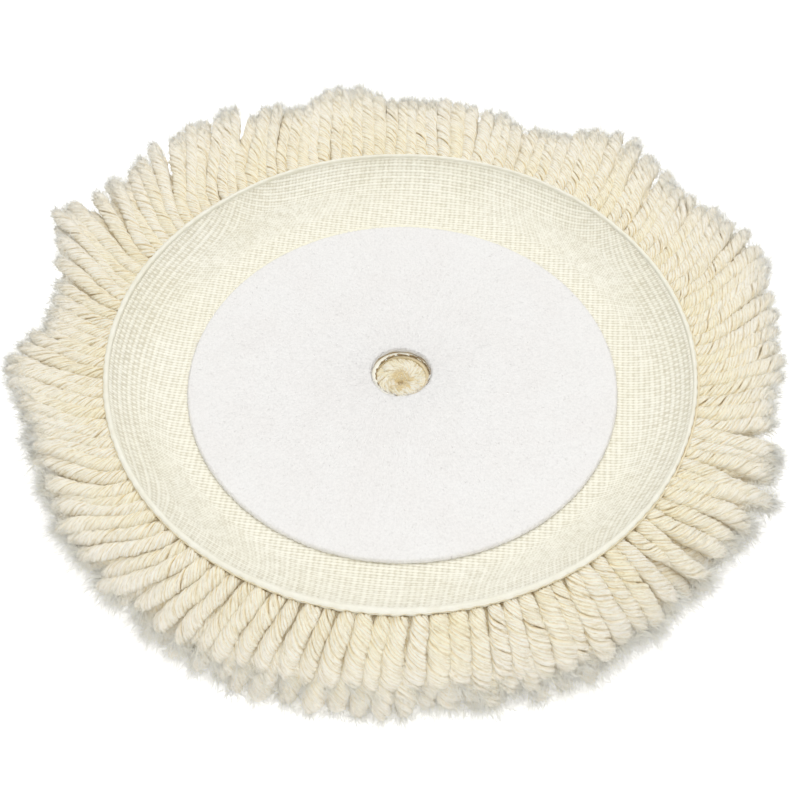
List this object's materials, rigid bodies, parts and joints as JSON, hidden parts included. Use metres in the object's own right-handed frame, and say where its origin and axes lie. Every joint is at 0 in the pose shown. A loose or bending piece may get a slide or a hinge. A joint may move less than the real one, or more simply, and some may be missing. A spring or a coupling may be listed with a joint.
{
  "type": "polishing pad",
  "caption": "Round wool polishing pad with twisted pile, a dished cloth-lined back, a hook-and-loop disc and a centre hole.",
  "frame": {"origin": "on the centre-hole axis, in the upper face of the liner cloth's flat floor", "axes": "+Z out of the back towards the machine; the pad lies with its pile down; X and Y are any pair across the round pad"},
  "size_m": [0.229, 0.229, 0.037],
  "materials": {
    "wool_yarn": "natural cream four-ply twisted wool yarn, cut and frayed at the tips",
    "liner_cloth": "coarse plain-woven cream cloth, stiffened",
    "loop_fabric": "white brushed nylon loop",
    "rim_band": "smooth pale cream lip, pressed and sealed",
    "backing_cup": "semi-rigid moulded backing, unpainted",
    "latex": "dried latex coat",
    "tufting_cloth": "plain woven tufting cloth",
    "glue": "thin amber adhesive film"
  },
  "bodies": {
    "root": {"loop_disc": "loop_fabric", "loop_adhesive_film": "glue", "liner_cloth": "liner_cloth", "backing_cup": "backing_cup", "latex_coat": "latex", "tufting_cloth": "tufting_cloth", "rim_band": "rim_band", "pile_row_01": "wool_yarn", "pile_row_02": "wool_yarn", "pile_row_03": "wool_yarn", "pile_row_04": "wool_yarn", "pile_row_05": "wool_yarn", "pile_row_06": "wool_yarn", "pile_row_07": "wool_yarn", "pile_row_08": "wool_yarn", "pile_row_09": "wool_yarn", "pile_row_10": "wool_yarn", "pile_row_11": "wool_yarn", "pile_row_12": "wool_yarn", "pile_row_13": "wool_yarn", "pile_row_14": "wool_yarn", "pile_row_15": "wool_yarn"}
  },
  "joints": []
}
